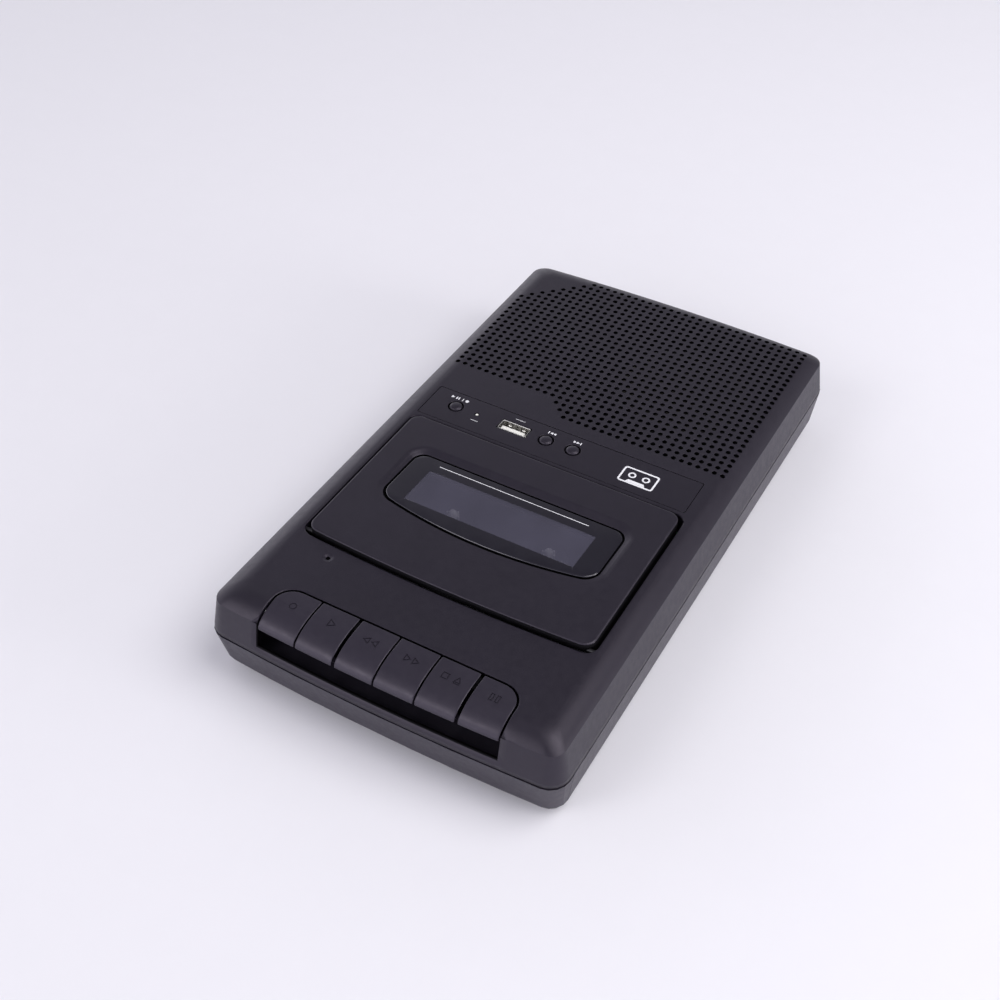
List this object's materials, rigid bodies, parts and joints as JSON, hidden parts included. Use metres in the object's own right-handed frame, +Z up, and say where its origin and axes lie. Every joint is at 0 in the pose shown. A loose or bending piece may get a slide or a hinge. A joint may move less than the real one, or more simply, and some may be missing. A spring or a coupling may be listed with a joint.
{
  "type": "portable cassette recorder",
  "caption": "Flat shoebox cassette recorder with a hinged cassette door, piano keys, a control strip with a USB socket, a speaker grille and a pull-out handle.",
  "frame": {"origin": "middle of the case's outline on the surface that the feet stand on", "axes": "+X to the right seen from the keys, +Y from the keys at the front to the speaker at the back, +Z up"},
  "size_m": [0.1474, 0.2608, 0.0419],
  "materials": {
    "case_plastic": "matte, fine moulded grain",
    "key_plastic": "satin",
    "gloss_black": "gloss",
    "inner_plastic": "matte",
    "steel": "satin",
    "rubber": "matte",
    "circuit_board": "satin",
    "speaker_paper": "matte",
    "ferrite": "matte",
    "white_plastic": "satin",
    "natural_plastic": "satin"
  },
  "bodies": {
    "case": {"battery_contact_front": "steel", "battery_contact_rear": "steel", "bottom_cover": "case_plastic", "case_screw_front_left": "steel", "case_screw_front_right": "steel", "case_screw_rear_left": "steel", "case_screw_rear_right": "steel", "control_strip": "case_plastic", "dc_power_jack": "inner_plastic", "door_hinge_pin": "steel", "drive_belt": "rubber", "drive_motor": "steel", "earphone_jack": "inner_plastic", "foot_front_left": "rubber", "foot_front_right": "rubber", "foot_rear_left": "rubber", "foot_rear_right": "rubber", "key_shaft": "steel", "main_circuit_board": "circuit_board", "microphone_capsule": "steel", "microphone_jack": "inner_plastic", "speaker_basket": "steel", "speaker_cone": "speaker_paper", "speaker_magnet": "ferrite", "status_led": "white_plastic", "top_cover": "case_plastic", "transport_chassis": "inner_plastic", "usb_circuit_board": "circuit_board", "usb_contact_tongue": "white_plastic", "usb_socket": "steel", "volume_potentiometer": "inner_plastic"},
    "record_key": {"record_key": "key_plastic"},
    "play_key": {"play_key": "key_plastic"},
    "rewind_key": {"rewind_key": "key_plastic"},
    "fast_forward_key": {"fast_forward_key": "key_plastic"},
    "stop_eject_key": {"stop_eject_key": "key_plastic"},
    "pause_key": {"pause_key": "key_plastic"},
    "handle": {"pull_handle": "case_plastic"},
    "battery_cover": {"battery_door": "case_plastic"},
    "door": {"cassette_door": "case_plastic", "window_lens": "gloss_black", "cassette_guide_left": "inner_plastic", "cassette_guide_right": "inner_plastic"},
    "heads": {"head_plate": "steel", "record_play_head": "steel", "erase_head": "inner_plastic"},
    "pinch_lever": {"pinch_arm": "steel"},
    "roller": {"pinch_roller": "rubber"},
    "capstan_flywheel": {"flywheel": "steel"},
    "pulley": {"motor_pulley": "steel"},
    "supply_reel": {"supply_spindle": "inner_plastic"},
    "takeup_reel": {"takeup_spindle": "inner_plastic"},
    "idler": {"takeup_idler": "natural_plastic"},
    "volume": {"volume_wheel": "key_plastic"},
    "play_record_button": {"play_record_button": "key_plastic"},
    "previous_button": {"previous_button": "key_plastic"},
    "next_button": {"next_button": "key_plastic"}
  },
  "joints": [
    {"name": "record_key_press", "type": "hinge", "parent": "case", "child": "record_key", "pos_m": [0, -0.097, 0.031], "axis": [1, 0, 0], "range_deg": [0, 8], "stiffness_Nm_per_rad": 0.6},
    {"name": "play_key_press", "type": "hinge", "parent": "case", "child": "play_key", "pos_m": [0, -0.097, 0.031], "axis": [1, 0, 0], "range_deg": [0, 8], "stiffness_Nm_per_rad": 0.6},
    {"name": "rewind_key_press", "type": "hinge", "parent": "case", "child": "rewind_key", "pos_m": [0, -0.097, 0.031], "axis": [1, 0, 0], "range_deg": [0, 8], "stiffness_Nm_per_rad": 0.6},
    {"name": "fast_forward_key_press", "type": "hinge", "parent": "case", "child": "fast_forward_key", "pos_m": [0, -0.097, 0.031], "axis": [1, 0, 0], "range_deg": [0, 8], "stiffness_Nm_per_rad": 0.6},
    {"name": "stop_eject_key_press", "type": "hinge", "parent": "case", "child": "stop_eject_key", "pos_m": [0, -0.097, 0.031], "axis": [1, 0, 0], "range_deg": [0, 8], "stiffness_Nm_per_rad": 0.6},
    {"name": "pause_key_press", "type": "hinge", "parent": "case", "child": "pause_key", "pos_m": [0, -0.097, 0.031], "axis": [1, 0, 0], "range_deg": [0, 8], "stiffness_Nm_per_rad": 0.6},
    {"name": "door_open", "type": "hinge", "parent": "case", "child": "door", "pos_m": [0, -0.0795, 0.038], "axis": [1, 0, 0], "range_deg": [0, 32]},
    {"name": "handle_pull", "type": "slide", "parent": "case", "child": "handle", "axis": [0, -1, 0], "range_m": [0, 0.038]},
    {"name": "battery_door_slide", "type": "slide", "parent": "case", "child": "battery_cover", "axis": [-1, 0, 0], "range_m": [0, 0.02]},
    {"name": "head_plate_slide", "type": "slide", "parent": "case", "child": "heads", "axis": [0, 1, 0], "range_m": [0, 0.003]},
    {"name": "pinch_arm_swing", "type": "hinge", "parent": "case", "child": "pinch_lever", "pos_m": [0.041, -0.076, 0.0278], "axis": [0, 0, -1], "range_deg": [0, 14]},
    {"name": "pinch_roller_spin", "type": "hinge", "parent": "pinch_lever", "child": "roller", "pos_m": [0.0245, -0.0788, 0.0319], "axis": [0, 0, 1], "continuous": true},
    {"name": "flywheel_spin", "type": "hinge", "parent": "case", "child": "capstan_flywheel", "pos_m": [0.0235, -0.0666, 0.0088], "axis": [0, 0, 1], "continuous": true},
    {"name": "motor_pulley_spin", "type": "hinge", "parent": "case", "child": "pulley", "pos_m": [-0.033, -0.076, 0.0088], "axis": [0, 0, 1], "continuous": true},
    {"name": "supply_spindle_spin", "type": "hinge", "parent": "case", "child": "supply_reel", "pos_m": [-0.02125, -0.0385, 0.025], "axis": [0, 0, 1], "continuous": true},
    {"name": "takeup_spindle_spin", "type": "hinge", "parent": "case", "child": "takeup_reel", "pos_m": [0.02125, -0.0385, 0.025], "axis": [0, 0, 1], "continuous": true},
    {"name": "takeup_idler_spin", "type": "hinge", "parent": "case", "child": "idler", "pos_m": [0.02265, -0.05603, 0.021], "axis": [0, 0, 1], "continuous": true},
    {"name": "volume_turn", "type": "hinge", "parent": "case", "child": "volume", "pos_m": [-0.0656, -0.008, 0.0288], "axis": [0, 0, 1], "range_deg": [0, 270]},
    {"name": "play_record_button_press", "type": "slide", "parent": "case", "child": "play_record_button", "axis": [0, 0, -1], "range_m": [0, 0.0004], "stiffness_N_per_m": 900},
    {"name": "previous_button_press", "type": "slide", "parent": "case", "child": "previous_button", "axis": [0, 0, -1], "range_m": [0, 0.0004], "stiffness_N_per_m": 900},
    {"name": "next_button_press", "type": "slide", "parent": "case", "child": "next_button", "axis": [0, 0, -1], "range_m": [0, 0.0004], "stiffness_N_per_m": 900}
  ],
  "couplings": [
    {"joint": "head_plate_slide", "follows": "play_key_press", "m_per_rad": 0.021486},
    {"joint": "pinch_arm_swing", "follows": "play_key_press", "ratio": 1.7},
    {"joint": "motor_pulley_spin", "follows": "flywheel_spin", "ratio": 6.5},
    {"joint": "takeup_idler_spin", "follows": "flywheel_spin", "ratio": -0.41379},
    {"joint": "takeup_spindle_spin", "follows": "flywheel_spin", "ratio": 0.3}
  ]
}
